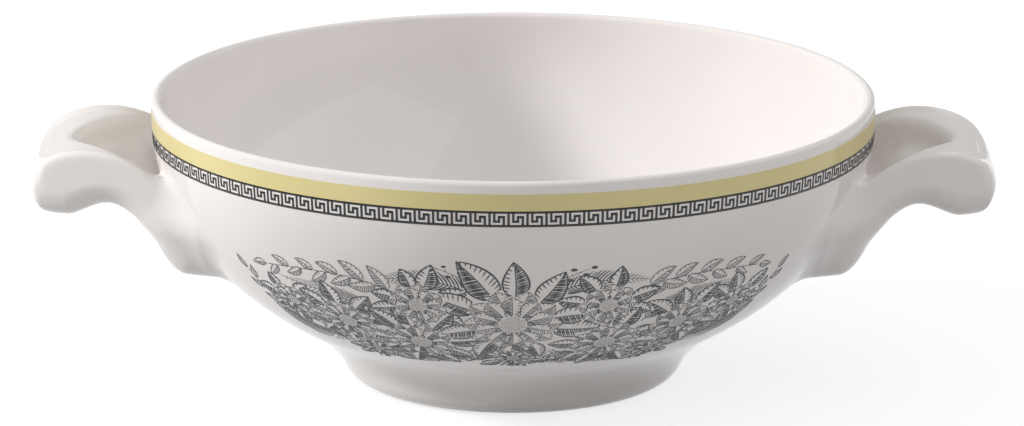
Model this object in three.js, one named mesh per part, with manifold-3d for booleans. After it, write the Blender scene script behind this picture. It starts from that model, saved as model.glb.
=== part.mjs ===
// Two-handled porcelain soup cup: a bowl, a foot ring and two scroll handles luted together, with thin
// fired films of decoration on the wall. Millimetres, +Z up. The cup stands on z = 0, its handles lie
// along X and its front faces -Y.

import * as THREE from "three";
import { mergeVertices } from "three/addons/utils/BufferGeometryUtils.js";
import Module from "manifold-3d";

// Facets: steps round the cup, along each curve and up the wall
const turnSegments = 72;
const curveSteps = 6;
const wallStep = 4.0;

// Bowl: the wall is a quarter ellipse that stands upright just below the lip
const rimRadius = 67.5;
const cupHeight = 54.0;
const lipThickness = 1.9;
const uprightDrop = 3.9;
const shoulderRadius = 42.1;
const shoulderHeight = 12.3;
const baseThickness = 4.0;
const floorRadius = 30.0;

// Foot ring: the outside flares in from the shoulder to the ring's side, then rounds under to a flat stand
const footHeight = 9.4;
const flareTurnHeight = 7.8;
const footRadius = 32.0;
const footEdgeHeight = 3.1;
const footStandRadius = 27.3;
const footInnerRadius = 24.4;
const footInnerRound = 1.2;
const footSeatGap = 0.1;

// Films of decoration: a colour band and a border all round, and a print on the front and on the back
const filmThickness = 0.2;
const filmGap = 0.05;
const bandLipGap = 1.2;
const bandHeight = 3.1;
const borderHeight = 2.95;
const printBorderGap = 1.3;
const printShoulderGap = 1.5;
const printHalfAngle = THREE.MathUtils.degToRad(57.5);

// Handle seen from the side: outward distances start at the rim radius, drops at the top of the lip
const crestOut = 10.5;
const crestDrop = 6.8;
const crestEase = 7.8;
const rootTopOut = -8.5;
const rootTopDrop = 14.95;
const rootTopHeading = THREE.MathUtils.degToRad(27.5);
const rootTopEase = 6.6;
const noseOut = 22.4;
const noseDrop = 15.3;
const noseUpperEase = 4.9;
const noseLowerEase = 3.9;
const chinOut = 15.3;
const chinDrop = 19.85;
const chinEase = 2.0;
const archOut = 7.2;
const archDrop = 17.0;
const archEase = 3.1;
const waistOut = -2.75;
const waistDrop = 26.7;
const waistHeading = THREE.MathUtils.degToRad(66);
const waistUpperEase = 6.8;
const waistLowerEase = 2.6;
const lobeOut = -7.4;
const lobeDrop = 30.9;
const lobeEase = 2.0;
const luteGap = 0.3;

// Handle seen from above: a tongue that narrows outward, with a blind pocket that ends at the bowl
const tongueRootOut = -10.0;
const tongueHalfWidth = 25.7;
const tongueEndHalfWidth = 15.9;
const tongueEndSetback = 2.2;
const tongueRootTaper = THREE.MathUtils.degToRad(23);
const tongueTaper = THREE.MathUtils.degToRad(17);
const tongueEase = 9.8;
const noseFlatHalfWidth = 7.0;
const lobeHalfWidth = 20.6;
const rootWideDrop = 21.0;
const pocketWall = 9.3;
const pocketTipSetback = 7.6;
const pocketRootOut = -1.5;
const pocketSideEase = 4.2;
const pocketTipEase = 4.5;
const pocketFloor = 3.4;

const wasm = await Module();
wasm.setup();

const wallCentre = cupHeight - uprightDrop;
const wallDepth = (wallCentre - shoulderHeight) / Math.sqrt(1 - (shoulderRadius / rimRadius) ** 2);
const lipRound = lipThickness / 2;
const lipStart = cupHeight - lipRound;
const floorHeight = footHeight + baseThickness;
const bandTop = lipStart - bandLipGap;
const borderTop = bandTop - bandHeight;
const borderBottom = borderTop - borderHeight;
const printTop = borderBottom - printBorderGap;
const printBottom = shoulderHeight + printShoulderGap;

const point = (x, y) => new THREE.Vector2(x, y);

// Heights from low to high in even steps, both ends included
function heightsBetween(low, high) {
  const steps = Math.max(1, Math.ceil((high - low) / wallStep));
  return Array.from({ length: steps + 1 }, (_, i) => low + ((high - low) * i) / steps);
}

// Point of the outer wall at a height, moved outward along the wall's normal
function wallPoint(height, outward) {
  const angle = Math.asin(Math.max(0, wallCentre - height) / wallDepth);
  const normal = point(Math.cos(angle) / rimRadius, -Math.sin(angle) / wallDepth).normalize();
  return point(rimRadius * Math.cos(angle), height).addScaledVector(normal, outward);
}

// Direction of the wall at the shoulder, pointing down and inward
function shoulderDirection() {
  const normal = wallPoint(shoulderHeight, 1).sub(wallPoint(shoulderHeight, 0));
  return point(normal.y, -normal.x);
}

// Where a line from a point in the shoulder's direction comes down to a height
function downTo(start, height) {
  const direction = shoulderDirection();
  return start.clone().addScaledVector(direction, (height - start.y) / direction.y);
}

// Every height at which the wall has a ring of vertices, so that films lie flat on its facets
const edgeHeights = [shoulderHeight, printBottom, printTop, borderBottom, borderTop, bandTop];
const wallHeights = [shoulderHeight];
for (let i = 1; i < edgeHeights.length; i += 1) {
  wallHeights.push(...heightsBetween(edgeHeights[i - 1], edgeHeights[i]).slice(1));
}

// Revolves a profile of radius and height about the Z axis
function turned(profile) {
  return new THREE.LatheGeometry(profile, turnSegments).rotateX(Math.PI / 2);
}

function arcPoints(centreX, centreY, radius, from, to) {
  const curve = new THREE.EllipseCurve(centreX, centreY, radius, radius, from, to, to < from);
  return curve.getPoints(curveSteps);
}

const shoulder = wallPoint(shoulderHeight, 0);
const flareTurn = downTo(shoulder, flareTurnHeight);
const footSide = point(footRadius, footEdgeHeight);
const flare = new THREE.QuadraticBezierCurve(shoulder, flareTurn, footSide);

// Share of the flare's curve that lies above a height
function flareShare(height) {
  const drop = shoulder.y - height;
  const fall = shoulder.y - flareTurn.y;
  const bend = shoulder.y - 2 * flareTurn.y + footSide.y;
  return drop / (fall + Math.sqrt(fall ** 2 - bend * drop));
}

// Points of the flare from one height to another, both ends included
function flarePoints(from, to) {
  const start = flareShare(from);
  const reach = flareShare(to) - start;
  return Array.from({ length: curveSteps + 1 }, (_, i) => flare.getPoint(start + (reach * i) / curveSteps));
}

function bowlGeometry() {
  const lip = arcPoints(rimRadius - lipRound, lipStart, lipRound, 0, Math.PI);

  const thicknessAt = (height) => {
    const depth = (wallCentre - height) / (wallCentre - shoulderHeight);
    return lipThickness + (baseThickness - lipThickness) * depth;
  };
  const innerHeights = heightsBetween(shoulderHeight, wallCentre).reverse();
  const inside = innerHeights.map((height) => wallPoint(height, -thicknessAt(height)));
  const insideEnd = inside.at(-1);
  const floorEdge = point(floorRadius, floorHeight);
  const floorCurve = new THREE.QuadraticBezierCurve(insideEnd, downTo(insideEnd, floorHeight), floorEdge);

  return turned([
    point(0, footHeight),
    ...flarePoints(footHeight, shoulderHeight),
    ...wallHeights.slice(1).map((height) => wallPoint(height, 0)),
    ...lip,
    ...inside,
    ...floorCurve.getPoints(curveSteps).slice(1),
    point(0, floorHeight),
  ]);
}

function footGeometry() {
  const top = footHeight - footSeatGap;
  const stand = point(footStandRadius, 0);
  const undersideTurn = footSide.clone().lerp(flareTurn, footSide.y / (footSide.y - flareTurn.y));
  const lowerEdge = new THREE.QuadraticBezierCurve(stand, undersideTurn, footSide);
  const innerCentre = footInnerRadius + footInnerRound;
  const innerRound = arcPoints(innerCentre, footInnerRound, footInnerRound, Math.PI, 1.5 * Math.PI);
  return turned([
    ...lowerEdge.getPoints(curveSteps),
    ...flarePoints(footEdgeHeight, top).slice(1),
    point(footInnerRadius, top),
    ...innerRound,
    stand,
  ]);
}

// Ring of film on the wall between two heights
function filmGeometry(low, high) {
  const heights = heightsBetween(low, high);
  const inner = heights.map((height) => wallPoint(height, filmGap));
  const outer = heights.map((height) => wallPoint(height, filmGap + filmThickness));
  return turned([...outer, ...inner.reverse(), outer[0]]);
}

function solidOf(geometry) {
  const bare = geometry.clone();
  bare.deleteAttribute("normal");
  bare.deleteAttribute("uv");
  const welded = mergeVertices(bare);
  const mesh = new wasm.Mesh({
    numProp: 3,
    vertProperties: welded.attributes.position.array,
    triVerts: Uint32Array.from(welded.index.array),
  });
  return new wasm.Manifold(mesh);
}

function geometryOf(solid) {
  const mesh = solid.getMesh();
  const geometry = new THREE.BufferGeometry();
  geometry.setAttribute("position", new THREE.BufferAttribute(mesh.vertProperties, 3));
  geometry.setIndex(new THREE.BufferAttribute(mesh.triVerts, 1));
  geometry.computeVertexNormals();
  return geometry;
}

// The part of a wall film that lies within the print's angle of the front, or of the back
function printGeometry(facing) {
  const reach = 2 * rimRadius;
  const half = reach * Math.tan(printHalfAngle / 2);
  const sideX = reach * Math.sin(printHalfAngle);
  const sideY = facing * reach * Math.cos(printHalfAngle);
  const wedge = new THREE.Shape([
    point(0, 0),
    point(facing * -sideX, sideY),
    point(facing * -half, facing * reach),
    point(facing * half, facing * reach),
    point(facing * sideX, sideY),
  ]);
  const block = new THREE.ExtrudeGeometry(wedge, { depth: cupHeight, bevelEnabled: false });
  return geometryOf(solidOf(filmGeometry(printBottom, printTop)).intersect(solidOf(block)));
}

const at = (out, drop) => point(rimRadius + out, cupHeight - drop);
const toward = (start, heading, length) =>
  point(start.x + length * Math.cos(heading), start.y + length * Math.sin(heading));
const lobe = at(lobeOut, lobeDrop);
const waist = at(waistOut, waistDrop);
const arch = at(archOut, archDrop);

// Adds the cubic curve to a shape that ends at a point, moved up by a lift
function curveTo(shape, control1, control2, end, lift = 0) {
  shape.bezierCurveTo(control1.x, control1.y + lift, control2.x, control2.y + lift, end.x, end.y + lift);
}

// The stretch from the waist of a handle up to the top of its arch
function archCurve(shape, lift) {
  curveTo(shape, toward(waist, waistHeading, waistUpperEase), point(arch.x - archEase, arch.y), arch, lift);
}

// Side outline of a handle: a tongue that leaves the wall, rises to a crest and rolls down to a nose,
// with an arch under it and a rounded lobe at the lower end of its root
function handleSide() {
  const rootTop = at(rootTopOut, rootTopDrop);
  const crest = at(crestOut, crestDrop);
  const nose = at(noseOut, noseDrop);
  const chin = at(chinOut, chinDrop);

  const shape = new THREE.Shape();
  shape.moveTo(shoulderRadius, lobe.y);
  shape.lineTo(lobe.x, lobe.y);
  const belowWaist = toward(waist, waistHeading, -waistLowerEase);
  curveTo(shape, point(lobe.x + lobeEase, lobe.y), belowWaist, waist);
  archCurve(shape, 0);
  curveTo(shape, point(arch.x + archEase, arch.y), point(chin.x - chinEase, chin.y), chin);
  curveTo(shape, point(chin.x + chinEase, chin.y), point(nose.x, nose.y - noseLowerEase), nose);
  curveTo(shape, point(nose.x, nose.y + noseUpperEase), point(crest.x + crestEase, crest.y), crest);
  const rootControl = toward(rootTop, rootTopHeading, rootTopEase);
  curveTo(shape, point(crest.x - crestEase, crest.y), rootControl, rootTop);
  shape.lineTo(shoulderRadius, rootTop.y);
  return shape;
}

// Side outline of the space in the pocket: its floor keeps to the underside, then runs level to the tip
function pocketSide() {
  const end = rimRadius + noseOut;
  const shape = new THREE.Shape();
  shape.moveTo(shoulderRadius, waist.y + pocketFloor);
  shape.lineTo(waist.x, waist.y + pocketFloor);
  archCurve(shape, pocketFloor);
  shape.lineTo(end, arch.y + pocketFloor);
  shape.lineTo(end, cupHeight);
  shape.lineTo(shoulderRadius, cupHeight);
  return shape;
}

// Plan outline of a handle, from inside the bowl to the blunt nose
function handlePlan() {
  const end = rimRadius + noseOut;
  const corner = point(end - tongueEndSetback, tongueEndHalfWidth);
  const cornerControlY = corner.y - tongueEndSetback * Math.tan(tongueTaper);
  const root = point(rimRadius + tongueRootOut, tongueHalfWidth);
  const rootControl = toward(root, -tongueRootTaper, tongueEase);
  const endControl = toward(corner, Math.PI - tongueTaper, tongueEase);
  const shape = new THREE.Shape();
  shape.moveTo(shoulderRadius, -tongueHalfWidth);
  shape.lineTo(root.x, -root.y);
  shape.bezierCurveTo(rootControl.x, -rootControl.y, endControl.x, -endControl.y, corner.x, -corner.y);
  shape.quadraticCurveTo(end, -cornerControlY, end, -noseFlatHalfWidth);
  shape.lineTo(end, noseFlatHalfWidth);
  shape.quadraticCurveTo(end, cornerControlY, corner.x, corner.y);
  curveTo(shape, endControl, rootControl, root);
  shape.lineTo(shoulderRadius, tongueHalfWidth);
  return shape;
}

// Front outline of a handle: its root narrows downward to the lobe
function handleFront() {
  const wideHeight = cupHeight - rootWideDrop;
  return new THREE.Shape([
    point(-lobeHalfWidth, lobe.y),
    point(lobeHalfWidth, lobe.y),
    point(tongueHalfWidth, wideHeight),
    point(tongueHalfWidth, cupHeight),
    point(-tongueHalfWidth, cupHeight),
    point(-tongueHalfWidth, wideHeight),
  ]);
}

// Plan outline of the pocket: as wide as its side walls leave at the bowl, round at its tip
function pocketPlan() {
  const side = rimRadius + pocketRootOut;
  const tip = rimRadius + noseOut - pocketTipSetback;
  const half = tongueHalfWidth - pocketWall;
  const shape = new THREE.Shape();
  shape.moveTo(shoulderRadius, -half);
  shape.lineTo(side, -half);
  shape.bezierCurveTo(side + pocketSideEase, -half, tip, -pocketTipEase, tip, 0);
  shape.bezierCurveTo(tip, pocketTipEase, side + pocketSideEase, half, side, half);
  shape.lineTo(shoulderRadius, half);
  return shape;
}

// The bowl's outside grown by the luting gap, as a ring that reaches in past the handle's root
function wallCutter() {
  const innerRadius = shoulderRadius / 2;
  const wall = wallHeights.map((height) => wallPoint(height, luteGap));
  return solidOf(turned([
    point(innerRadius, shoulderHeight),
    ...wall,
    point(rimRadius + luteGap, cupHeight),
    point(innerRadius, cupHeight),
    point(innerRadius, shoulderHeight),
  ]));
}

function handleGeometry() {
  const curveSegments = 2 * curveSteps;
  const width = 2 * (tongueHalfWidth + luteGap);
  const across = (shape) => {
    const slab = new THREE.ExtrudeGeometry(shape, { depth: width, bevelEnabled: false, curveSegments });
    return solidOf(slab.translate(0, 0, -width / 2).rotateX(Math.PI / 2));
  };
  const upright = (shape) =>
    solidOf(new THREE.ExtrudeGeometry(shape, { depth: cupHeight, bevelEnabled: false, curveSegments }));
  const pocket = across(pocketSide()).intersect(upright(pocketPlan()));
  const outward = (shape) => {
    const block = new THREE.ExtrudeGeometry(shape, { depth: rimRadius + noseOut, bevelEnabled: false });
    return solidOf(block.rotateX(Math.PI / 2).rotateZ(Math.PI / 2));
  };
  const tongue = across(handleSide()).intersect(upright(handlePlan())).intersect(outward(handleFront()));
  return geometryOf(tongue.subtract(pocket).subtract(wallCutter()));
}

const finishes = {
  porcelain: { color: 0xf1eee9, roughness: 0.12, metalness: 0 },
  yellow: { color: 0xe8d894, roughness: 0.14, metalness: 0 },
  black: { color: 0x24242a, roughness: 0.16, metalness: 0 },
  slate: { color: 0x6e7380, roughness: 0.2, metalness: 0 },
};

const cup = new THREE.Group();

function addPiece(name, geometry, finish) {
  const mesh = new THREE.Mesh(geometry, new THREE.MeshStandardMaterial(finishes[finish]));
  mesh.name = name;
  cup.add(mesh);
  return mesh;
}

addPiece("bowl_body", bowlGeometry(), "porcelain");
addPiece("foot_ring", footGeometry(), "porcelain");
addPiece("right_handle", handleGeometry(), "porcelain");
addPiece("left_handle", handleGeometry(), "porcelain").rotation.z = Math.PI;
addPiece("rim_colour_band", filmGeometry(borderTop, bandTop), "yellow");
addPiece("key_border", filmGeometry(borderBottom, borderTop), "black");
addPiece("front_print", printGeometry(-1), "slate");
addPiece("rear_print", printGeometry(1), "slate");

export default cup;
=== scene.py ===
# Two-handled porcelain soup cup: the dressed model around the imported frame.
# Sizes of the cup are in millimetres, and mesh_piece() scales them to Blender's metres.
# The cup stands on z = 0, its handles lie along X and its front faces -Y.
import math
import random

import bpy
import numpy as np
from mathutils import Euler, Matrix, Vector


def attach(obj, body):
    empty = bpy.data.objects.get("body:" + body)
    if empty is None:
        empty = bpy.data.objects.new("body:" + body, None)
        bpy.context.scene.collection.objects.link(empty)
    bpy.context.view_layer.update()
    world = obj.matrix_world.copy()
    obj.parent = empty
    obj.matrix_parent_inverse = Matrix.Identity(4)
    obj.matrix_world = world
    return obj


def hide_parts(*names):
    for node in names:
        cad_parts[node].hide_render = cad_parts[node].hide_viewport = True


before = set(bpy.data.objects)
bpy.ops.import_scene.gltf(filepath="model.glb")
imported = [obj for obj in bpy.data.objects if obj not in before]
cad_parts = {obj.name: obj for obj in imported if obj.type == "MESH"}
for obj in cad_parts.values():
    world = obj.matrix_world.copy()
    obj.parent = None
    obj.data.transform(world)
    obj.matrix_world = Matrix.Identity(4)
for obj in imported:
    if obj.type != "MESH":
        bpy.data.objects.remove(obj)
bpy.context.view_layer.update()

MM = 0.001

# Bowl: the wall is a quarter ellipse that stands upright just below the lip
RIM_RADIUS = 67.5
CUP_HEIGHT = 54.0
LIP_THICKNESS = 1.9
UPRIGHT_DROP = 3.9
SHOULDER_RADIUS = 42.1
SHOULDER_HEIGHT = 12.3
BASE_THICKNESS = 4.0
FLOOR_RADIUS = 30.0

# Foot ring: the outside flares in from the shoulder to the ring's side, then rounds under to a flat stand
FOOT_HEIGHT = 9.4
FLARE_TURN_HEIGHT = 7.8
FOOT_RADIUS = 32.0
FOOT_EDGE_HEIGHT = 3.1
FOOT_STAND_RADIUS = 27.3
FOOT_INNER_RADIUS = 24.4
FOOT_INNER_ROUND = 1.2
FOOT_SEAT_DEPTH = 0.5

# Heights of the decoration
BAND_LIP_GAP = 1.2
BAND_HEIGHT = 3.1
BORDER_HEIGHT = 2.95
PRINT_BORDER_GAP = 1.3
PRINT_SHOULDER_GAP = 1.5
FILM_THICKNESS = 0.04

# Handle seen from the side: outward distances start at the rim radius, drops at the top of the lip
CREST_OUT = 10.5
CREST_DROP = 6.8
CREST_EASE = 7.8
ROOT_TOP_OUT = -8.5
ROOT_TOP_DROP = 14.95
ROOT_TOP_HEADING = math.radians(27.5)
ROOT_TOP_EASE = 6.6
NOSE_OUT = 22.95
NOSE_DROP = 16.1
NOSE_UPPER_EASE = 4.9
NOSE_LOWER_EASE = 3.9
CHIN_OUT = 15.3
CHIN_DROP = 19.85
CHIN_EASE = 2.0
ARCH_OUT = 7.2
ARCH_DROP = 17.0
ARCH_EASE = 3.1
WAIST_OUT = -2.75
WAIST_DROP = 26.7
WAIST_HEADING = math.radians(66)
WAIST_UPPER_EASE = 6.8
WAIST_LOWER_EASE = 2.6
LOBE_OUT = -7.4
LOBE_DROP = 30.9
LOBE_EASE = 2.0

# Handle seen from above: a tongue that narrows outward, with a blind pocket that ends at the bowl
TONGUE_ROOT_OUT = -10.0
TONGUE_HALF_WIDTH = 25.7
TONGUE_END_HALF_WIDTH = 15.9
TONGUE_END_SETBACK = 2.2
TONGUE_ROOT_TAPER = math.radians(23)
TONGUE_TAPER = math.radians(17)
TONGUE_EASE = 9.8
NOSE_FLAT_HALF_WIDTH = 7.0
POCKET_WALL = 9.3
POCKET_TIP_SETBACK = 9.15
POCKET_ROOT_OUT = -1.5
POCKET_SIDE_EASE = 4.2
POCKET_TIP_EASE = 7.5
POCKET_FLOOR = 3.4

# Modelling of the handle's surface
RIDGE_END_SETBACK = 3.95
RIDGE_FLAT_HALF_WIDTH = 1.2
RIDGE_PLAN_SPAN = (38.5, 43.0)
UNDER_GROW = 0.5
RIDGE_ROUND = 1.6
UNDER_ROUND = 6.0
RIDGE_SPAN = 2.5
POCKET_EDGE_ROUND = 3.0
POCKET_BED_ROUND = 6.0
ROOT_NARROW = 5.1
ROOT_NARROW_SPAN = (22.5, 36.5)
ROOT_FILLET = 9.0
ROOT_FILLET_TOP = 3.0
ROOT_FILLET_LOW = 1.8
ROOT_FILLET_TOP_SPAN = (32.0, 42.0)
ROOT_FILLET_LOW_SPAN = (22.0, 34.0)
ROOT_SKIN = 0.01
ROOT_SINK = 0.9
DISH_DEPTH = 0.6
DISH_START = 1.0
DISH_END = 3.6
DISH_LOW = 37.5
DISH_HIGH = 40.5
NET_PITCH = 0.45
PULL_ROUNDS = 3
PULL_REACH = 0.05
LEAST_SQUARED_SLOPE = 0.2

# Fineness of the turned pieces
TURN_SEGMENTS = 256
CURVE_STEPS = 14
FLARE_STEPS = 40
WALL_STEP = 1.2
BAND_STEPS = 4
SAME_POINT = 1e-6
SHARP_ANGLE = math.radians(40)

# Print: a garland of blossoms, leaves and fern, engraved in tapered strokes on flat paper
PAPER_RADIUS = 58.0
PAPER_STEPS = 240
GARLAND_SEED = 7
GARLAND_HALF_WIDTH = 45.0

# Blossoms of the garland: place on the paper to the right of the middle, radius and number of petals
MIDDLE_BLOSSOMS = ((0, 20.0, 9.0, 10), (0, 5.5, 4.6, 8))
SIDE_BLOSSOMS = (
    (18.5, 12.0, 7.2, 9),
    (16.5, 24.5, 5.2, 8),
    (32.5, 17.0, 6.2, 9),
    (30.5, 6.0, 4.6, 7),
    (43.5, 20.5, 4.4, 7),
)

# Sprigs on the right half of the paper: control points, then the number of pairs or leaves and their size
NEAR_FRONDS = (
    (((36, 10), (42, 8), (47, 11), (51, 18)), 24, 4.4),
    (((8, 10), (14, 3), (22, 1.5), (34, 3)), 28, 3.6),
)
FAR_BRANCHES = (
    (((20, 27), (27, 31), (36, 30), (46, 29)), 11, 5.6, 1.2),
    (((40, 15), (46, 14), (49, 19), (52, 27)), 10, 5.2, 1.1),
)
FAR_FRONDS = (
    (((7, 28), (11, 31), (17, 31), (23, 30)), 22, 3.0),
    (((24, 19), (27, 24), (33, 25), (43, 27)), 26, 3.6),
)
BERRY_SPRIG = (((4, 28), (6, 30), (9, 32), (12, 33)), 6, 0.5)

# Line widths of the engraving, and the weight of each layer of the garland
OUTLINE_PEN = 0.12
OUTLINE_SWELL = 0.16
RIB_PEN = 0.2
RIB_TAPER = 0.12
HATCH_PEN = 0.28
LIGHT_HATCH_PEN = 0.2
BRANCH_PEN = 0.4
FROND_PEN = 0.34
LEAFLET_PEN = 0.5
BERRY_PEN = 0.26
STALK_PEN = 0.2
GRASS_PEN = 0.26
BLOSSOM_WEIGHT = 0.58
SPRAY_WEIGHT = 1.12
GRASS_WEIGHT = 0.7
FAR_WEIGHT = 0.5

# Strokes: steps of a run, and the part of a half wave that tapers them, as start and span
LINE_STEPS = 4
HATCH_STEPS = 2
LINE_TAPER = (0.15, 0.75)
LEAFLET_TAPER = (0.1, 0.82)
LEAFLET_TAPER_POWER = 0.8
STEM_TAPER = 0.4
DISC_STEPS = 6
DISC_EDGE = 0.02

# Leaves and petals; a drawn value is given as its least and its span
LEAF_STEPS = 12
LEAF_FULLNESS = 0.75
LEAF_BLUNTNESS = 0.85
HATCH_PITCH = 0.42
LEAST_HATCHES = 4
HATCH_PLACE = (0.3, 0.4)
HATCH_REACH = 0.92
HATCH_LEAD = 0.1
LIGHT_HATCH_LENGTH = (0.35, 0.3)
EYE_SHARE = 0.26
EYE_DOTS = (14, 12)
EYE_DOT_RADIUS = 0.13
EYE_DOT_STEPS = 3
EYE_COVER = 1.1
EYE_COVER_STEPS = 24
PETAL_REACHES = (0.82, 1.0)
PETAL_BASE = 0.9
PETAL_WIDTH = 2.1
REAR_PETAL_GROWTH = 0.15
PETAL_FULLNESS = 1.5
PETAL_PITCH = 0.36
SPRAY_BASE = 0.8
SPRAY_PLACE = 0.5
SPRAY_LENGTH = (0.75, 0.4)
SPRAY_BEND = 0.8
SPRAY_WIDTH = (0.24, 0.4)

# Sprigs and grass; a drawn value is given as its least and its span, an angle in degrees
SPRIG_STEPS = 60
SPRIG_START = 0.06
SPRIG_SPAN = 0.92
BRANCH_SHRINK = 0.45
BRANCH_LEAF_SIZE = (0.9, 0.2)
BRANCH_LEAF_OPENING = (38, 10)
BRANCH_TIP_OPENING = 12
BRANCH_LEAF_BEND = (20, 20)
FROND_SHAPE = (0.3, 0.68)
LEAFLET_STEPS = 6
LEAFLET_SIZE = (0.92, 0.16)
LEAFLET_OPENING = math.radians(62)
LEAFLET_BEND = math.radians(34)
BERRY_STEPS = 40
BERRY_START = 0.3
BERRY_OPENING = math.radians(50)
BERRY_STALK = 2.2
BERRY_SIZE = (0.85, 0.3)
BERRY_COVER = 1.25
BERRY_COVER_STEPS = 16
GRASS_TUFTS = 120
GRASS_BLADES = 5
GRASS_LENGTH = 5.0
GRASS_BOTTOM = 0.4
GRASS_RISE = 13.0
GRASS_DEPTH = 5.0
BLADE_STEPS = 4
BLADE_LEAN = 50
BLADE_LENGTH = (0.6, 0.5)
BLADE_CURL = 0.8
BLADE_SPREAD = 0.9
BLADE_TAPER = 0.85

# Key fret: one cell, from its top line to its bottom line, with ink where the letter is x
FRET_CELL = ("xxxxxxxx", ".x.....x", ".x.xxx.x", ".x.x.x.x", ".xxx.x.x", ".....x.x", "xxxxxxxx")
FRET_CELLS = 126
FRET_TURN = -0.0089

# Glazes: the two ends of the drifting tint, and the noise in tint, gloss and surface
PORCELAIN_TINTS = ((0.805, 0.765, 0.743), (0.83, 0.79, 0.768))
YELLOW_TINTS = ((0.69, 0.59, 0.262), (0.73, 0.63, 0.295))
BLACK_TINTS = ((0.003, 0.003, 0.004), (0.009, 0.009, 0.011))
SLATE_TINTS = ((0.036, 0.04, 0.05), (0.052, 0.057, 0.07))
TINT_NOISE_SCALE = 42
TINT_NOISE_DETAIL = 3
TINT_NOISE_SPAN = (0.35, 0.65)
GLOSS_NOISE_SCALE = 260
RIPPLE_NOISE_SCALE = 70
FINE_NOISE_DETAIL = 2
GLOSS_SPREAD = (0.75, 1.25)
RIPPLE_STRENGTH = 0.12
GLAZE_IOR = 1.5

# Standing ring of the foot: the glaze is wiped off it before the firing, between these heights in metres
BARE_HEIGHT = (0.0002, 0.0006)
BISQUE = (0.66, 0.62, 0.58)
BISQUE_ROUGHNESS = 0.8

# Floor, light and camera: places and sizes in metres, the lens and sensor in millimetres
FLOOR_REACH = 4.0
FLOOR_DROP = 0.00003
FLOOR_TINT = (0.48, 0.48, 0.48)
FLOOR_SEEN_TINT = (0.32, 0.32, 0.32)
FLOOR_GLOW = 0.76
FLOOR_ROUGHNESS = 0.9
LAMP_AIM = (0, 0, 0.03)
KEY_PLACE = (-1.08, -0.04, 0.56)
KEY_SIZE = (0.27, 0.12)
KEY_POWER = 11.4
PANEL_PLACE = (0.8, 0.0, 0.95)
PANEL_SIZE = (2.0, 1.0)
PANEL_POWER = 3.8
WORLD_STRENGTH = 0.56
VIEW_ELEVATION = math.radians(14.75)
VIEW_DISTANCE = 1.190
VIEW_HEIGHT = 0.03072
VIEW_ASIDE = -0.0002
VIEW_ROLL = math.radians(0.08)
VIEW_LENS = 223.1
SENSOR_WIDTH = 36

# Derived sizes
WALL_CENTRE = CUP_HEIGHT - UPRIGHT_DROP
WALL_DEPTH = (WALL_CENTRE - SHOULDER_HEIGHT) / math.sqrt(1 - (SHOULDER_RADIUS / RIM_RADIUS) ** 2)
LIP_ROUND = LIP_THICKNESS / 2
LIP_START = CUP_HEIGHT - LIP_ROUND
FLOOR_HEIGHT = FOOT_HEIGHT + BASE_THICKNESS
BAND_TOP = LIP_START - BAND_LIP_GAP
BORDER_TOP = BAND_TOP - BAND_HEIGHT
BORDER_BOTTOM = BORDER_TOP - BORDER_HEIGHT
PRINT_TOP = BORDER_BOTTOM - PRINT_BORDER_GAP
PRINT_BOTTOM = SHOULDER_HEIGHT + PRINT_SHOULDER_GAP


def bezier(controls, steps):
    """Points of a Bezier curve of any degree, both ends included."""
    controls = np.asarray(controls, float)
    t = np.linspace(0, 1, steps + 1)[:, None]
    degree = len(controls) - 1
    return sum(math.comb(degree, i) * t**i * (1 - t) ** (degree - i) * controls[i] for i in range(degree + 1))


def arc(centre, radius, start, end, steps=CURVE_STEPS):
    angle = np.linspace(start, end, steps + 1)
    return np.stack([centre[0] + radius * np.cos(angle), centre[1] + radius * np.sin(angle)], axis=1)


def joined(*runs):
    """One outline from runs of points, without repeated points."""
    outline = np.concatenate([np.atleast_2d(run) for run in runs])
    step = np.linalg.norm(np.diff(outline, axis=0), axis=1)
    return outline[np.concatenate([[True], step > SAME_POINT])]


def wall_point(height, outward=0.0):
    """Radius and height of the outer wall, moved outward along its normal."""
    height = np.asarray(height, float)
    angle = np.arcsin(np.maximum(0, WALL_CENTRE - height) / WALL_DEPTH)
    normal_r = np.cos(angle) / RIM_RADIUS
    normal_z = -np.sin(angle) / WALL_DEPTH
    length = np.hypot(normal_r, normal_z)
    radius = RIM_RADIUS * np.cos(angle) + outward * normal_r / length
    return np.stack([radius, height + outward * normal_z / length], axis=-1)


def on_wall(angle, height, outward=0.0):
    """Points on the outer wall; the angle runs from the front towards +X."""
    radius, z = np.moveaxis(wall_point(height, outward), -1, 0)
    return np.stack([radius * np.sin(angle), -radius * np.cos(angle), z], axis=-1)


def down_to(start, height):
    """Where a line from a point in the shoulder's direction comes down to a height."""
    normal = wall_point(SHOULDER_HEIGHT, 1.0) - wall_point(SHOULDER_HEIGHT, 0.0)
    direction = np.array([normal[1], -normal[0]])
    return start + direction * (height - start[1]) / direction[1]


def mesh_piece(name, points, faces, material, slot, *nodes):
    """A smooth mesh of the cup, given in millimetres, that stands for some CAD nodes."""
    mesh = bpy.data.meshes.new(name)
    mesh.from_pydata((np.asarray(points) * MM).tolist(), [], faces)
    mesh.shade_smooth()
    mesh.set_sharp_from_angle(angle=SHARP_ANGLE)
    mesh.materials.append(material)
    piece = bpy.data.objects.new(name, mesh)
    bpy.context.collection.objects.link(piece)
    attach(piece, "root")
    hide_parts(*nodes)
    return piece


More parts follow.
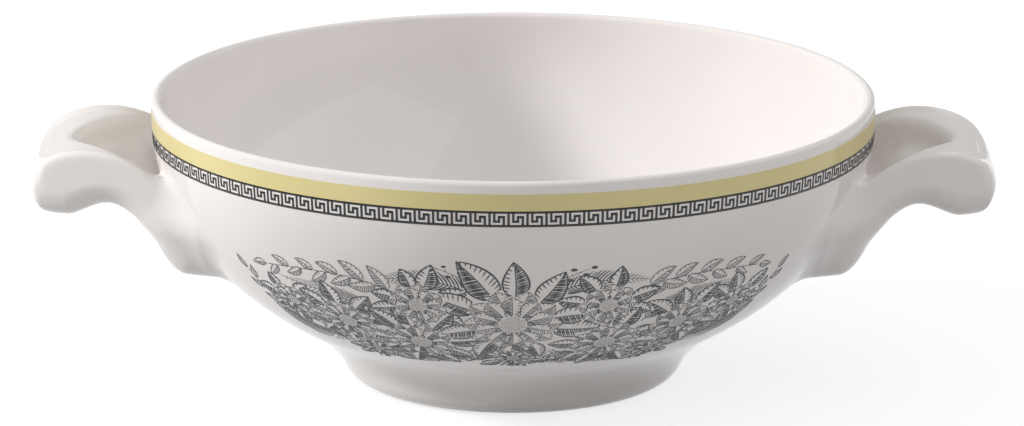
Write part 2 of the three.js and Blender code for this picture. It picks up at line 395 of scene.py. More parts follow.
def turned(outline, segments=TURN_SEGMENTS):
    """Points and faces of an outline revolved about Z. It closes on itself, or has both ends on the axis."""
    angle = np.arange(segments) * 2 * math.pi / segments
    on_axis = outline[0][0] == 0
    rings = outline[1:-1] if on_axis else outline
    points = [[r * math.cos(a), r * math.sin(a), z] for r, z in rings for a in angle]
    count = len(rings)
    faces = []
    for i in range(count - 1 if on_axis else count):
        low, high = i * segments, (i + 1) % count * segments
        for j in range(segments):
            k = (j + 1) % segments
            faces.append((low + j, low + k, high + k, high + j))
    if on_axis:
        first, last = len(points), len(points) + 1
        points += [[0, 0, outline[0][1]], [0, 0, outline[-1][1]]]
        top = (count - 1) * segments
        for j in range(segments):
            k = (j + 1) % segments
            faces += [(first, k, j), (last, top + j, top + k)]
    return points, faces


SHOULDER = wall_point(SHOULDER_HEIGHT)
FLARE_TURN = down_to(SHOULDER, FLARE_TURN_HEIGHT)
FOOT_SIDE = np.array([FOOT_RADIUS, FOOT_EDGE_HEIGHT])


def flare_share(height):
    """Share of the flare's curve that lies above a height."""
    drop = SHOULDER[1] - height
    fall = SHOULDER[1] - FLARE_TURN[1]
    bend = SHOULDER[1] - 2 * FLARE_TURN[1] + FOOT_SIDE[1]
    return drop / (fall + math.sqrt(fall**2 - bend * drop))


def flare_points(start, end):
    """Points of the flare from one height to another."""
    t = np.linspace(flare_share(start), flare_share(end), FLARE_STEPS + 1)[:, None]
    return (1 - t) ** 2 * SHOULDER + 2 * t * (1 - t) * FLARE_TURN + t**2 * FOOT_SIDE


def bowl_outline():
    steps = int((LIP_START - SHOULDER_HEIGHT) / WALL_STEP)
    wall = wall_point(np.linspace(SHOULDER_HEIGHT, LIP_START, steps + 1))
    lip = arc((RIM_RADIUS - LIP_ROUND, LIP_START), LIP_ROUND, 0, math.pi)
    inner_heights = np.linspace(WALL_CENTRE, SHOULDER_HEIGHT, steps + 1)
    depth = (WALL_CENTRE - inner_heights) / (WALL_CENTRE - SHOULDER_HEIGHT)
    inside = wall_point(inner_heights, -(LIP_THICKNESS + (BASE_THICKNESS - LIP_THICKNESS) * depth))
    floor_edge = (FLOOR_RADIUS, FLOOR_HEIGHT)
    floor = bezier([inside[-1], down_to(inside[-1], FLOOR_HEIGHT), floor_edge], CURVE_STEPS)
    flare = flare_points(FOOT_HEIGHT, SHOULDER_HEIGHT)
    return joined((0, FOOT_HEIGHT), flare, wall, lip, inside, floor, (0, FLOOR_HEIGHT))


def foot_outline():
    """The ring is flush with the bowl outside and reaches into its base inside."""
    under_turn = FOOT_SIDE + (FOOT_SIDE - FLARE_TURN) * FOOT_SIDE[1] / (FLARE_TURN[1] - FOOT_SIDE[1])
    lower = bezier([(FOOT_STAND_RADIUS, 0), under_turn, FOOT_SIDE], CURVE_STEPS)
    flare = flare_points(FOOT_EDGE_HEIGHT, FOOT_HEIGHT)
    seat_height = FOOT_HEIGHT + FOOT_SEAT_DEPTH
    seat = [(flare[-1][0] - 2 * FOOT_SEAT_DEPTH, seat_height), (FOOT_INNER_RADIUS, seat_height)]
    inner_centre = (FOOT_INNER_RADIUS + FOOT_INNER_ROUND, FOOT_INNER_ROUND)
    inner = arc(inner_centre, FOOT_INNER_ROUND, math.pi, 1.5 * math.pi)
    return joined(lower, flare, seat, inner)


# Handle as a field of distances, in millimetres, negative inside
def handle_at(out, drop):
    return np.array([RIM_RADIUS + out, CUP_HEIGHT - drop])


def toward(start, heading, length):
    return start + length * np.array([math.cos(heading), math.sin(heading)])


ACROSS = np.array([1.0, 0.0])
UP = np.array([0.0, 1.0])
LOBE = handle_at(LOBE_OUT, LOBE_DROP)
WAIST = handle_at(WAIST_OUT, WAIST_DROP)
ARCH = handle_at(ARCH_OUT, ARCH_DROP)
ARCH_CURVE = [WAIST, toward(WAIST, WAIST_HEADING, WAIST_UPPER_EASE), ARCH - ARCH_EASE * ACROSS, ARCH]


def handle_side():
    """Underside and top of the side outline: a tongue with a crest and a nose, an arch and a lobe."""
    root_top = handle_at(ROOT_TOP_OUT, ROOT_TOP_DROP)
    crest = handle_at(CREST_OUT, CREST_DROP)
    nose = handle_at(NOSE_OUT, NOSE_DROP)
    chin = handle_at(CHIN_OUT, CHIN_DROP)
    lower = [
        [LOBE, LOBE + LOBE_EASE * ACROSS, toward(WAIST, WAIST_HEADING, -WAIST_LOWER_EASE), WAIST],
        ARCH_CURVE,
        [ARCH, ARCH + ARCH_EASE * ACROSS, chin - CHIN_EASE * ACROSS, chin],
        [chin, chin + CHIN_EASE * ACROSS, nose - NOSE_LOWER_EASE * UP, nose],
    ]
    upper = [
        [nose, nose + NOSE_UPPER_EASE * UP, crest + CREST_EASE * ACROSS, crest],
        [crest, crest - CREST_EASE * ACROSS, toward(root_top, ROOT_TOP_HEADING, ROOT_TOP_EASE), root_top],
    ]
    under = joined((SHOULDER_RADIUS, LOBE[1]), *[bezier(curve, CURVE_STEPS) for curve in lower])
    over = joined(*[bezier(curve, CURVE_STEPS) for curve in upper], (SHOULDER_RADIUS, root_top[1]))
    return under, over


def pocket_side():
    """Side outline of the pocket: its floor keeps to the underside, then runs level to the tip."""
    root = SHOULDER_RADIUS
    end = RIM_RADIUS + NOSE_OUT
    floor = bezier(ARCH_CURVE, CURVE_STEPS) + POCKET_FLOOR * UP
    return joined((root, floor[0][1]), floor, (end, floor[-1][1]), (end, CUP_HEIGHT), (root, CUP_HEIGHT))


def mirrored(half):
    """A closed outline from its half on one side of the X axis."""
    return joined(half, (half * (1, -1))[::-1])


def handle_plan(setback, flat_half_width):
    """Plan outline; the corner of its nose starts a setback short of the end and leaves a flat there."""
    end = RIM_RADIUS + NOSE_OUT
    corner_half_width = TONGUE_END_HALF_WIDTH + (setback - TONGUE_END_SETBACK) * math.tan(TONGUE_TAPER)
    corner = np.array([end - setback, corner_half_width])
    corner_control = (end, corner[1] - setback * math.tan(TONGUE_TAPER))
    start = np.array([RIM_RADIUS + TONGUE_ROOT_OUT, TONGUE_HALF_WIDTH])
    root_control = toward(start, -TONGUE_ROOT_TAPER, TONGUE_EASE)
    end_control = toward(corner, math.pi - TONGUE_TAPER, TONGUE_EASE)
    side = bezier([start, root_control, end_control, corner], CURVE_STEPS)
    front = bezier([corner, corner_control, (end, flat_half_width)], CURVE_STEPS)
    return mirrored(joined((SHOULDER_RADIUS, TONGUE_HALF_WIDTH), side, front))


def pocket_plan():
    side = RIM_RADIUS + POCKET_ROOT_OUT
    tip = RIM_RADIUS + NOSE_OUT - POCKET_TIP_SETBACK
    half = TONGUE_HALF_WIDTH - POCKET_WALL
    curve = [(side, half), (side + POCKET_SIDE_EASE, half), (tip, POCKET_TIP_EASE), (tip, 0)]
    return mirrored(joined((SHOULDER_RADIUS, half), bezier(curve, 2 * CURVE_STEPS)))


def outline_distance(x, y, outline):
    """Distance from a closed outline, negative inside it, for arrays of any shape."""
    nearest = np.full(x.shape, np.inf)
    inside = np.zeros(x.shape, bool)
    for start, end in zip(outline, np.roll(outline, -1, axis=0)):
        edge = end - start
        along = np.clip(((x - start[0]) * edge[0] + (y - start[1]) * edge[1]) / (edge @ edge), 0, 1)
        gap_x = x - start[0] - along * edge[0]
        gap_y = y - start[1] - along * edge[1]
        nearest = np.minimum(nearest, gap_x**2 + gap_y**2)
        if edge[1] != 0:
            spans = (start[1] <= y) != (end[1] <= y)
            inside ^= spans & (x < start[0] + (y - start[1]) * edge[0] / edge[1])
    return np.where(inside, -1, 1) * np.sqrt(nearest)


def soft_max(a, b, width):
    blend = np.maximum(width - np.abs(a - b), 0) / width
    return np.maximum(a, b) + blend**2 * width / 4


def soft_min(a, b, width):
    return -soft_max(-a, -b, width)


def smooth_step(value, low, high):
    t = np.clip((value - low) / (high - low), 0, 1)
    return t * t * (3 - 2 * t)


def wall_distance(x, y, z):
    """Distance from the bowl's outer wall, close to true near the wall."""
    radius = np.hypot(x, y)
    drop = np.maximum(WALL_CENTRE - z, 0)
    level = np.hypot(radius / RIM_RADIUS, drop / WALL_DEPTH)
    slope = np.hypot(radius / RIM_RADIUS**2, drop / WALL_DEPTH**2) / level
    return (level - 1) / slope


UNDERSIDE, TOPSIDE = handle_side()
SIDE = joined(UNDERSIDE, TOPSIDE)
PLAN = handle_plan(TONGUE_END_SETBACK, NOSE_FLAT_HALF_WIDTH)
RIDGE_PLAN = handle_plan(RIDGE_END_SETBACK, RIDGE_FLAT_HALF_WIDTH)
POCKET_SIDE = pocket_side()
POCKET_PLAN = pocket_plan()


def root_fillet(z):
    """Width of the fillet between handle and wall, widest half way up the root."""
    above = (ROOT_FILLET_TOP - ROOT_FILLET) * smooth_step(z, *ROOT_FILLET_TOP_SPAN)
    below = (ROOT_FILLET_LOW - ROOT_FILLET) * (1 - smooth_step(z, *ROOT_FILLET_LOW_SPAN))
    return ROOT_FILLET + above + below


def handle_field(x, y, z):
    """Field of the handle with its soft edges and its fillet on the wall, cut off just under the glaze."""
    side_x, side_z = np.broadcast_arrays(x, z) if x.ndim > 1 else (x, z)
    plan_x, plan_y = np.broadcast_arrays(x, y) if x.ndim > 1 else (x, y)
    side = outline_distance(side_x, side_z, SIDE)
    plan = outline_distance(plan_x, plan_y, PLAN)
    ridge_plan = outline_distance(plan_x, plan_y, RIDGE_PLAN)
    plan = plan + (ridge_plan - plan) * smooth_step(z, *RIDGE_PLAN_SPAN)
    plan = plan + ROOT_NARROW * (1 - smooth_step(z, *ROOT_NARROW_SPAN))
    pocket = soft_max(
        outline_distance(side_x, side_z, POCKET_SIDE),
        outline_distance(plan_x, plan_y, POCKET_PLAN),
        POCKET_BED_ROUND,
    )
    middle = (np.interp(x, *UNDERSIDE.T) + np.interp(x, *TOPSIDE[::-1].T)) / 2
    lower = 1 - smooth_step(z - middle, -RIDGE_SPAN, RIDGE_SPAN)
    edge = RIDGE_ROUND + (UNDER_ROUND - RIDGE_ROUND) * lower
    dish = DISH_DEPTH * smooth_step(-plan, DISH_START, DISH_END) * smooth_step(z, DISH_LOW, DISH_HIGH)
    body = soft_max(side - UNDER_GROW * lower + dish, plan, edge)
    body = soft_max(body, -pocket, POCKET_EDGE_ROUND)
    wall = wall_distance(x, y, z)
    fillet = root_fillet(z)
    filleted = soft_min(body, wall + ROOT_SKIN, fillet)
    return np.maximum(np.maximum(filleted, -(wall + ROOT_SINK)), body - fillet - ROOT_SINK)


def surface_net(axes, field):
    """Vertices and quads of the zero surface of a field sampled on a grid."""
    inside = field < 0
    counts = np.zeros(tuple(n - 1 for n in field.shape), int)
    sums = np.zeros(counts.shape + (3,))
    spans = [slice(0, -1), slice(1, None)]
    grid = np.stack(np.meshgrid(*axes, indexing="ij"), axis=-1)
    corners = [(i, j, k) for i in (0, 1) for j in (0, 1) for k in (0, 1)]
    for a in corners:
        for axis in range(3):
            if a[axis]:
                continue
            b = tuple(1 if n == axis else a[n] for n in range(3))
            at_a = tuple(spans[n] for n in a)
            at_b = tuple(spans[n] for n in b)
            crossed = inside[at_a] != inside[at_b]
            step = field[at_a] / np.where(crossed, field[at_a] - field[at_b], 1)
            place = grid[at_a] + step[..., None] * (grid[at_b] - grid[at_a])
            sums += np.where(crossed[..., None], place, 0)
            counts += crossed
    used = counts > 0
    index = np.full(counts.shape, -1)
    index[used] = np.arange(used.sum())
    points = sums[used] / counts[used][:, None]
    faces = []
    for axis in range(3):
        one, two = [n for n in range(3) if n != axis]
        if axis == 1:
            one, two = two, one
        low = [slice(1, -1)] * 3
        high = [slice(1, -1)] * 3
        low[axis] = slice(0, -1)
        high[axis] = slice(1, None)
        at_low, at_high = inside[tuple(low)], inside[tuple(high)]
        for flip, crossed in ((False, at_low & ~at_high), (True, ~at_low & at_high)):
            cells = np.argwhere(crossed)
            cells[:, one] += 1
            cells[:, two] += 1
            ring = []
            for back_one, back_two in ((1, 1), (0, 1), (0, 0), (1, 0)):
                cell = cells.copy()
                cell[:, one] -= back_one
                cell[:, two] -= back_two
                ring.append(index[tuple(cell.T)])
            quads = np.stack(ring[::-1] if flip else ring, axis=1)
            faces.append(quads)
    return points, np.concatenate(faces)


def pulled_to_surface(points):
    """Moves points along the field's gradient on to its zero surface."""

    def field(shift):
        return handle_field(*(points + shift).T)

    for _ in range(PULL_ROUNDS):
        rise = [field(PULL_REACH * e) - field(-PULL_REACH * e) for e in np.eye(3)]
        gradient = np.stack(rise, axis=1) / (2 * PULL_REACH)
        size = np.maximum((gradient**2).sum(axis=1), LEAST_SQUARED_SLOPE)
        step = field(0)[:, None] * gradient / size[:, None]
        points = points - np.clip(step, -NET_PITCH / 2, NET_PITCH / 2)
    return points


def handle_mesh():
    margin = 3 * NET_PITCH
    aside = TONGUE_HALF_WIDTH + ROOT_FILLET + margin
    low = (SHOULDER_RADIUS, -aside, LOBE[1] - ROOT_FILLET_LOW - margin)
    high = (RIM_RADIUS + NOSE_OUT + margin, aside, CUP_HEIGHT)
    axes = [np.arange(a, b, NET_PITCH) for a, b in zip(low, high)]
    points, faces = surface_net(axes, handle_field(*np.meshgrid(*axes, indexing="ij", sparse=True)))
    return pulled_to_surface(points), faces


# Print, drawn on flat paper that is laid on the wall
paper_heights = np.linspace(PRINT_BOTTOM, PRINT_TOP, PAPER_STEPS + 1)
paper_profile = wall_point(paper_heights)
paper_steps = np.linalg.norm(np.diff(paper_profile, axis=0), axis=1)
paper_radii = (paper_profile[1:, 0] + paper_profile[:-1, 0]) / 2
# Distances up the paper are scaled with those round the cup, so that a drawn shape keeps its angles
paper_rise = PAPER_RADIUS * np.concatenate([[0], np.cumsum(paper_steps / paper_radii)])


def paper_to_wall(points, outward):
    """Points of the flat paper laid on the front of the cup."""
    return on_wall(points[:, 0] / PAPER_RADIUS, np.interp(points[:, 1], paper_rise, paper_heights), outward)


def ahead(angle):
    return np.stack([np.cos(angle), np.sin(angle)], axis=1)


def leftward(angle):
    return np.stack([-np.sin(angle), np.cos(angle)], axis=1)


def heading_of(run):
    step = np.gradient(run, axis=0)
    return np.arctan2(step[:, 1], step[:, 0])


def value_on(values, share):
    """Value at a share of the way along a run of values."""
    return np.interp(share * (len(values) - 1), np.arange(len(values)), values)


def place_on(run, share):
    """Point at a share of the way along a run of points."""
    return np.array([value_on(run[:, 0], share), value_on(run[:, 1], share)])


def inside_outline(points, outline):
    x, y = points[:, :1], points[:, 1:]
    start, end = outline, np.roll(outline, -1, axis=0)
    spans = (start[:, 1] <= y) != (end[:, 1] <= y)
    rise = np.where(end[:, 1] == start[:, 1], 1, end[:, 1] - start[:, 1])
    crossing = start[:, 0] + (y - start[:, 1]) * (end[:, 0] - start[:, 0]) / rise
    return (spans & (x < crossing)).sum(axis=1) % 2 == 1


class Engraving:
    """Tapered strokes. What is drawn first lies in front and hides what is drawn behind it."""

    def __init__(self, seed):
        self.chance = random.Random(seed)
        self.strokes = []
        self.weight = 1
        self.covers = []
        self.cover_boxes = np.zeros((0, 4))

    def vary(self, least, span):
        return least + span * self.chance.random()

    def cover(self, outline):
        self.covers.append(outline)
        box = np.concatenate([outline.min(axis=0), outline.max(axis=0)])
        self.cover_boxes = np.vstack([self.cover_boxes, box])

    def stroke(self, points, widths):
        """Keeps the parts of a stroke that lie on the paper and behind no cover."""
        points = np.asarray(points, float)
        widths = self.weight * np.broadcast_to(np.asarray(widths, float), (len(points),))
        starts, ends = self.cover_boxes[:, :2], self.cover_boxes[:, 2:]
        near = (starts < points.max(axis=0)) & (ends > points.min(axis=0))
        shown = (points[:, 1] > 0) & (points[:, 1] < paper_rise[-1])
        for index in np.flatnonzero(near.all(axis=1)):
            shown &= ~inside_outline(points, self.covers[index])
        edges = np.flatnonzero(np.diff(np.concatenate([[0], shown.astype(int), [0]])))
        for first, last in zip(edges[::2], edges[1::2]):
            if last - first > 1:
                self.strokes.append((points[first:last], widths[first:last]))

    def line(self, start, end, width, steps=LINE_STEPS):
        share = np.linspace(0, 1, steps + 1)[:, None]
        taper = np.sin(math.pi * (LINE_TAPER[0] + LINE_TAPER[1] * share[:, 0]))
        self.stroke(start + (end - start) * share, width * taper)

    def disc(self, centre, radius, steps=DISC_STEPS):
        across = np.linspace(-1, 1, steps + 1)
        points = np.asarray(centre) + radius * across[:, None] * ACROSS
        self.stroke(points, 2 * radius * np.sqrt(np.maximum(1 - across**2, DISC_EDGE)))

    def leaf(self, base, heading, length, half_width, bend, fullness=LEAF_FULLNESS, pitch=HATCH_PITCH):
        """A leaf or petal: outline, rib, and hatching that is denser on its shaded side."""
        share = np.linspace(0, 1, LEAF_STEPS + 1)
        angle = heading + bend * share
        step = ahead(angle) * length / LEAF_STEPS
        mid = np.asarray(base) + np.concatenate([[[0, 0]], np.cumsum(step[:-1], axis=0)])
        half = half_width * np.sin(math.pi * share**fullness) ** LEAF_BLUNTNESS
        across = leftward(angle) * half[:, None]
        sides = [mid + across, mid - across]
        for edge in sides:
            self.stroke(edge, OUTLINE_PEN + OUTLINE_SWELL * np.sin(math.pi * share))
        rib_end = LEAF_STEPS - 1
        self.stroke(mid[:rib_end], RIB_PEN - RIB_TAPER * share[:rib_end])
        shaded = 0 if math.cos(heading) < 0 else 1
        lines = max(LEAST_HATCHES, int(length / pitch))
        for which, edge in enumerate(sides):
            for number in range(lines):
                start = (number + self.vary(*HATCH_PLACE)) / lines * HATCH_REACH
                rib = place_on(mid, start)
                rim = place_on(edge, min(1, start + HATCH_LEAD))
                if which == shaded:
                    self.line(rib, rim, HATCH_PEN, HATCH_STEPS)
                elif number % 2 == 0:
                    inner = rim + (rib - rim) * self.vary(*LIGHT_HATCH_LENGTH)
                    self.line(rim, inner, LIGHT_HATCH_PEN, HATCH_STEPS)
        self.cover(np.concatenate([sides[0], sides[1][::-1]]))

    def stem(self, run, width):
        self.stroke(run, np.linspace(width, width * STEM_TAPER, len(run)))

    def branch(self, controls, count, length, half_width):
        """Leaves in turn on both sides of a stem, smaller towards its end."""
        run = bezier(controls, SPRIG_STEPS)
        headings = heading_of(run)
        for number in reversed(range(count)):
            share = SPRIG_START + SPRIG_SPAN * number / (count - 1)
            size = (1 - BRANCH_SHRINK * share) * self.vary(*BRANCH_LEAF_SIZE)
            side = 1 if number % 2 else -1
            at_tip = number == count - 1
            opening = math.radians(BRANCH_TIP_OPENING if at_tip else self.vary(*BRANCH_LEAF_OPENING))
            heading = value_on(headings, share) + side * opening
            bend = -side * math.radians(self.vary(*BRANCH_LEAF_BEND))
            self.leaf(place_on(run, share), heading, length * size, half_width * size, bend)
        self.stem(run, BRANCH_PEN)

    def frond(self, controls, pairs, length):
        """A fern frond of narrow solid leaflets."""
        run = bezier(controls, SPRIG_STEPS)
        headings = heading_of(run)
        share = np.linspace(0, 1, LEAFLET_STEPS + 1)
        taper = np.sin(math.pi * (LEAFLET_TAPER[0] + LEAFLET_TAPER[1] * share**LEAFLET_TAPER_POWER))
        for number in range(pairs):
            place = SPRIG_START + SPRIG_SPAN * number / pairs
            size = math.sin(math.pi * (FROND_SHAPE[0] + FROND_SHAPE[1] * place)) * self.vary(*LEAFLET_SIZE)
            heading = value_on(headings, place)
            for side in (-1, 1):
                angle = heading + side * LEAFLET_OPENING - side * LEAFLET_BEND * share
                step = ahead(angle) * length * size / LEAFLET_STEPS
                points = place_on(run, place) + np.cumsum(step, axis=0) - step[0]
                self.stroke(points, LEAFLET_PEN * size * taper)
        self.stem(run, FROND_PEN)

    def berries(self, controls, count, radius):
        run = bezier(controls, BERRY_STEPS)
        headings = heading_of(run)
        for number in range(count):
            place = BERRY_START + (1 - BERRY_START) * number / (count - 1)
            side = 0 if number == count - 1 else (1 if number % 2 else -1)
            heading = value_on(headings, place) + side * BERRY_OPENING
            foot = place_on(run, place)
            centre = toward(foot, heading, BERRY_STALK * radius)
            size = radius * self.vary(*BERRY_SIZE)
            self.disc(centre, size)
            self.cover(arc(centre, size * BERRY_COVER, 0, 2 * math.pi, BERRY_COVER_STEPS))
            self.line(foot, centre, STALK_PEN)
        self.stem(run, BERRY_PEN)

    def blossom(self, centre, radius, petals, turn):
        """An open flower: a stippled eye and two rings of hatched petals."""
        centre = np.asarray(centre, float)
        eye = EYE_SHARE * radius
        golden = math.pi * (3 - math.sqrt(5))
        dots = int(EYE_DOTS[0] * eye**2 + EYE_DOTS[1])
        for number in range(dots):
            place = toward(centre, golden * number, eye * math.sqrt((number + 0.5) / dots))
            self.disc(place, EYE_DOT_RADIUS, EYE_DOT_STEPS)
        self.cover(arc(centre, eye * EYE_COVER, 0, 2 * math.pi, EYE_COVER_STEPS))
        for ring, reach in enumerate(PETAL_REACHES):
            half_width = PETAL_WIDTH * radius / petals * (1 + REAR_PETAL_GROWTH * ring)
            length = radius * reach - eye * PETAL_BASE
            for number in range(petals):
                heading = turn + (number + ring / 2) * 2 * math.pi / petals
                base = toward(centre, heading, eye * PETAL_BASE)
                self.leaf(base, heading, length, half_width, 0.0, PETAL_FULLNESS, PETAL_PITCH)

    def spray(self, centre, radius, count):
        """Leaves that stand out behind a flower."""
        centre = np.asarray(centre, float)
        turn = 2 * math.pi * self.chance.random()
        for number in range(count):
            heading = turn + self.vary(number, SPRAY_PLACE) * 2 * math.pi / count
            length = radius * self.vary(*SPRAY_LENGTH)
            bend = SPRAY_BEND * (self.chance.random() - 0.5)
            base = toward(centre, heading, SPRAY_BASE * radius)
            self.leaf(base, heading, length, SPRAY_WIDTH[0] * length + SPRAY_WIDTH[1], bend)

    def grass(self, base, blades, length):
        share = np.linspace(0, 1, BLADE_STEPS + 1)
        for _ in range(blades):
            lean = math.radians(90 + BLADE_LEAN * (self.chance.random() - 0.5) * 2)
            reach = length * self.vary(*BLADE_LENGTH)
            angle = lean + (lean - math.pi / 2) * BLADE_CURL * share
            step = ahead(angle) * reach / BLADE_STEPS
            start = np.asarray(base) + (BLADE_SPREAD * (self.chance.random() - 0.5) * 2, 0)
            self.stroke(start + np.cumsum(step, axis=0), GRASS_PEN * (1 - BLADE_TAPER * share))


def garland():
    """Strokes of the whole print, from the front layer to the back."""
    art = Engraving(GARLAND_SEED)
    flowers = list(MIDDLE_BLOSSOMS)
    for side in (-1, 1):
        flowers += [(side * x, y, radius, petals) for x, y, radius, petals in SIDE_BLOSSOMS]
    art.weight = BLOSSOM_WEIGHT
    for x, y, radius, petals in flowers:
        art.blossom((x, y), radius, petals, art.chance.random())
    art.weight = SPRAY_WEIGHT
    for x, y, radius, petals in flowers:
        art.spray((x, y), radius, petals)
    for side in (-1, 1):
        flip = np.array([side, 1])
        art.weight = GRASS_WEIGHT
        for controls, *sizes in NEAR_FRONDS:
            art.frond(flip * controls, *sizes)
        art.weight = FAR_WEIGHT
        for controls, *sizes in FAR_BRANCHES:
            art.branch(flip * controls, *sizes)
        for controls, *sizes in FAR_FRONDS:
            art.frond(flip * controls, *sizes)
        controls, *sizes = BERRY_SPRIG
        art.berries(flip * controls, *sizes)
    art.weight = GRASS_WEIGHT
    for number in range(GRASS_TUFTS):
        share = (number + art.chance.random()) / GRASS_TUFTS
        x = GARLAND_HALF_WIDTH * (2 * share - 1)
        low = GRASS_BOTTOM + GRASS_RISE * (x / GARLAND_HALF_WIDTH) ** 4
        art.grass((x, art.vary(low, GRASS_DEPTH)), GRASS_BLADES, GRASS_LENGTH)
    return art.strokes


def ribbon_mesh(strokes):
    """Points on the wall and faces of strokes drawn on paper."""
    points, faces = [], []
    for run, widths in strokes:
        heading = heading_of(run)
        aside = leftward(heading) * widths[:, None] / 2
        first = sum(len(part) for part in points)
        points += [run + aside, run - aside]
        count = len(run)
        for i in range(count - 1):
            left, right = first + i, first + count + i
            faces.append((left, right, right + 1, left + 1))
    return paper_to_wall(np.concatenate(points), FILM_THICKNESS), faces


def fret_mesh():
    rows, columns = len(FRET_CELL), len(FRET_CELL[0]) * FRET_CELLS
    heights = np.linspace(BORDER_TOP, BORDER_BOTTOM, rows + 1)
    angles = FRET_TURN + np.arange(columns) * 2 * math.pi / columns
    points = on_wall(*np.meshgrid(angles, heights), FILM_THICKNESS).reshape(-1, 3)
    faces = []
    for row, line in enumerate(FRET_CELL):
        for column in range(columns):
            if line[column % len(line)] == "x":
                after = (column + 1) % columns
                low, high = (row + 1) * columns, row * columns
                faces.append((low + column, low + after, high + after, high + column))
    used = np.unique(np.array(faces))
    renumber = np.zeros(len(points), int)
    renumber[used] = np.arange(len(used))
    return points[used], renumber[np.array(faces)].tolist()


def inked(piece):
    """Gives a film its thickness, down to just under the glaze."""
    film = piece.modifiers.new("film", "SOLIDIFY")
    film.thickness = 2 * FILM_THICKNESS * MM
    film.offset = -1
    return piece


# Materials
def new_material(name):
    material = bpy.data.materials.new(name)
    material.use_nodes = True
    return material, material.node_tree.nodes, material.node_tree.links


def noise(nodes, links, scale, detail, source):
    node = nodes.new("ShaderNodeTexNoise")
    node.inputs["Scale"].default_value = scale
    node.inputs["Detail"].default_value = detail
    links.new(source, node.inputs["Vector"])
    return node.outputs["Fac"]


def ramp(nodes, links, source, colours, places):
    """Colour that runs from the first to the second as the source rises between two places."""
    node = nodes.new("ShaderNodeValToRGB")
    for element, place, colour in zip(node.color_ramp.elements, places, colours):
        element.position = place
        element.color = (*colour, 1)
    links.new(source, node.inputs["Fac"])
    return node.outputs["Color"]


def spread(nodes, links, source, low, high):
    node = nodes.new("ShaderNodeMapRange")
    node.inputs["To Min"].default_value = low
    node.inputs["To Max"].default_value = high
    links.new(source, node.inputs["Value"])
    return node.outputs["Result"]


def glaze(name, tints, roughness, ripple):
    """Glossy fired glaze: drifting tint, uneven gloss and a faint ripple in the surface."""
    material, nodes, links = new_material(name)
    shader = nodes["Principled BSDF"]
    place = nodes.new("ShaderNodeTexCoord").outputs["Object"]
    drift = noise(nodes, links, TINT_NOISE_SCALE, TINT_NOISE_DETAIL, place)
    links.new(ramp(nodes, links, drift, tints, TINT_NOISE_SPAN), shader.inputs["Base Color"])
    uneven = noise(nodes, links, GLOSS_NOISE_SCALE, FINE_NOISE_DETAIL, place)
    gloss = spread(nodes, links, uneven, *[roughness * share for share in GLOSS_SPREAD])
    links.new(gloss, shader.inputs["Roughness"])
    bump = nodes.new("ShaderNodeBump")
    bump.inputs["Strength"].default_value = RIPPLE_STRENGTH
    bump.inputs["Distance"].default_value = ripple
    waves = noise(nodes, links, RIPPLE_NOISE_SCALE, FINE_NOISE_DETAIL, place)
    links.new(waves, bump.inputs["Height"])
    links.new(bump.outputs["Normal"], shader.inputs["Normal"])
    shader.inputs["IOR"].default_value = GLAZE_IOR
    return material


def bare_below(material, heights, colour):
    """Turns a glaze into bare matte clay below a height, with a soft edge."""
    nodes, links = material.node_tree.nodes, material.node_tree.links
    shader = nodes["Principled BSDF"]
    split = nodes.new("ShaderNodeSeparateXYZ")
    links.new(nodes.new("ShaderNodeTexCoord").outputs["Object"], split.inputs["Vector"])
    glazed = nodes.new("ShaderNodeMapRange")
    glazed.inputs["From Min"].default_value, glazed.inputs["From Max"].default_value = heights
    links.new(split.outputs["Z"], glazed.inputs["Value"])
    matte = (BISQUE_ROUGHNESS, BISQUE_ROUGHNESS, BISQUE_ROUGHNESS, 1)
    for socket, bare in (("Base Color", (*colour, 1)), ("Roughness", matte)):
        blend = nodes.new("ShaderNodeMixRGB")
        blend.inputs["Color1"].default_value = bare
        links.new(shader.inputs[socket].links[0].from_socket, blend.inputs["Color2"])
        links.new(glazed.outputs["Result"], blend.inputs["Fac"])
        links.new(blend.outputs["Color"], shader.inputs[socket])


porcelain = glaze("porcelain_glaze", PORCELAIN_TINTS, roughness=0.05, ripple=0.0004)
foot_glaze = glaze("foot_glaze", PORCELAIN_TINTS, roughness=0.06, ripple=0.0004)
bare_below(foot_glaze, BARE_HEIGHT, BISQUE)
handle_glaze = glaze("handle_glaze", PORCELAIN_TINTS, roughness=0.05, ripple=0.0005)
yellow = glaze("yellow_enamel", YELLOW_TINTS, roughness=0.12, ripple=0.0002)
black = glaze("black_enamel", BLACK_TINTS, roughness=0.14, ripple=0.0002)
slate = glaze("slate_ink", SLATE_TINTS, roughness=0.16, ripple=0.0002)

# Cup body
mesh_piece("bowl", *turned(bowl_outline()), porcelain, "bowl_porcelain", "bowl_body")
mesh_piece("foot", *turned(foot_outline()), foot_glaze, "foot_porcelain", "foot_ring")
handle_points, handle_faces = handle_mesh()
mesh_piece(
    "right_scroll_handle",
    handle_points,
    handle_faces.tolist(),
    handle_glaze,
    "handle_porcelain",
    "right_handle",
)
mesh_piece(
    "left_scroll_handle",
    handle_points * (-1, -1, 1),
    handle_faces.tolist(),
    handle_glaze,
    "handle_porcelain",
    "left_handle",
)

# Decoration
band_heights = np.linspace(BORDER_TOP, BAND_TOP, BAND_STEPS + 1)
band_outline = joined(
    wall_point(band_heights, FILM_THICKNESS), wall_point(band_heights[::-1], -FILM_THICKNESS)
)
mesh_piece("rim_band", *turned(band_outline), yellow, "yellow_colour", "rim_colour_band")
inked(mesh_piece("key_fret", *fret_mesh(), black, "black_colour", "key_border"))
print_points, print_faces = ribbon_mesh(garland())
inked(mesh_piece("front_garland", print_points, print_faces, slate, "slate_print", "front_print"))
inked(mesh_piece("rear_garland", print_points * (-1, -1, 1), print_faces, slate, "slate_print", "rear_print"))

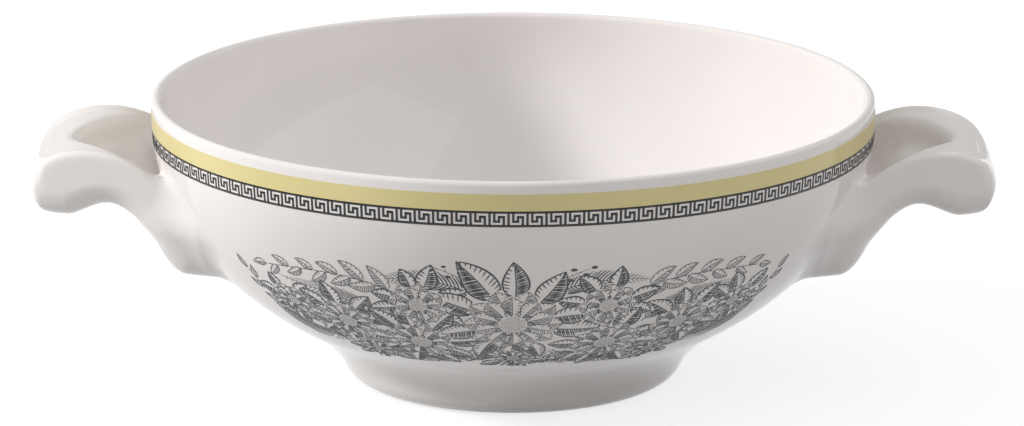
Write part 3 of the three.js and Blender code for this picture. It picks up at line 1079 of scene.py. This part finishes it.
# Floor, light and camera
floor_mesh = bpy.data.meshes.new("floor")
corner_signs = ((-1, -1), (1, -1), (1, 1), (-1, 1))
floor_corners = [(x * FLOOR_REACH, y * FLOOR_REACH, -FLOOR_DROP) for x, y in corner_signs]
floor_mesh.from_pydata(floor_corners, [], [(0, 1, 2, 3)])
floor = bpy.data.objects.new("floor", floor_mesh)
bpy.context.collection.objects.link(floor)
floor_material, nodes, links = new_material("floor_paper")
floor_shader = nodes["Principled BSDF"]
floor_shader.inputs["Roughness"].default_value = FLOOR_ROUGHNESS
path = nodes.new("ShaderNodeLightPath")
seen = path.outputs["Is Camera Ray"]
for ray in ("Is Glossy Ray", "Is Transmission Ray"):
    either = nodes.new("ShaderNodeMath")
    either.operation = "MAXIMUM"
    links.new(seen, either.inputs[0])
    links.new(path.outputs[ray], either.inputs[1])
    seen = either.outputs["Value"]
floor_tint = ramp(nodes, links, seen, (FLOOR_TINT, FLOOR_SEEN_TINT), (0, 1))
links.new(floor_tint, floor_shader.inputs["Base Color"])
floor_shader.inputs["Emission Color"].default_value = (1, 1, 1, 1)
links.new(spread(nodes, links, seen, 0, FLOOR_GLOW), floor_shader.inputs["Emission Strength"])
floor_mesh.materials.append(floor_material)


def softbox(name, place, size, power):
    light = bpy.data.lights.new(name, "AREA")
    light.shape = "RECTANGLE"
    light.size, light.size_y = size
    light.energy = power
    lamp = bpy.data.objects.new(name, light)
    lamp.location = place
    lamp.rotation_euler = (Vector(LAMP_AIM) - Vector(place)).to_track_quat("-Z", "Y").to_euler()
    bpy.context.collection.objects.link(lamp)
    return lamp


key = softbox("key_softbox", KEY_PLACE, KEY_SIZE, KEY_POWER)
key.visible_glossy = False
softbox("right_panel", PANEL_PLACE, PANEL_SIZE, PANEL_POWER)

world = bpy.data.worlds.new("studio")
bpy.context.scene.world = world
world.use_nodes = True
world.node_tree.nodes["Background"].inputs["Color"].default_value = (1, 1, 1, 1)
world.node_tree.nodes["Background"].inputs["Strength"].default_value = WORLD_STRENGTH

camera_data = bpy.data.cameras.new("camera")
camera_data.lens = VIEW_LENS
camera_data.sensor_width = SENSOR_WIDTH
camera = bpy.data.objects.new("camera", camera_data)
out = Vector((0, -math.cos(VIEW_ELEVATION), math.sin(VIEW_ELEVATION)))
camera.location = Vector((VIEW_ASIDE, 0, VIEW_HEIGHT)) + VIEW_DISTANCE * out
tilt = Euler((math.pi / 2 - VIEW_ELEVATION, 0, 0)).to_matrix()
camera.rotation_euler = (tilt @ Euler((0, 0, VIEW_ROLL)).to_matrix()).to_euler()
bpy.context.collection.objects.link(camera)
bpy.context.scene.camera = camera
bpy.context.scene.view_settings.view_transform = "Standard"
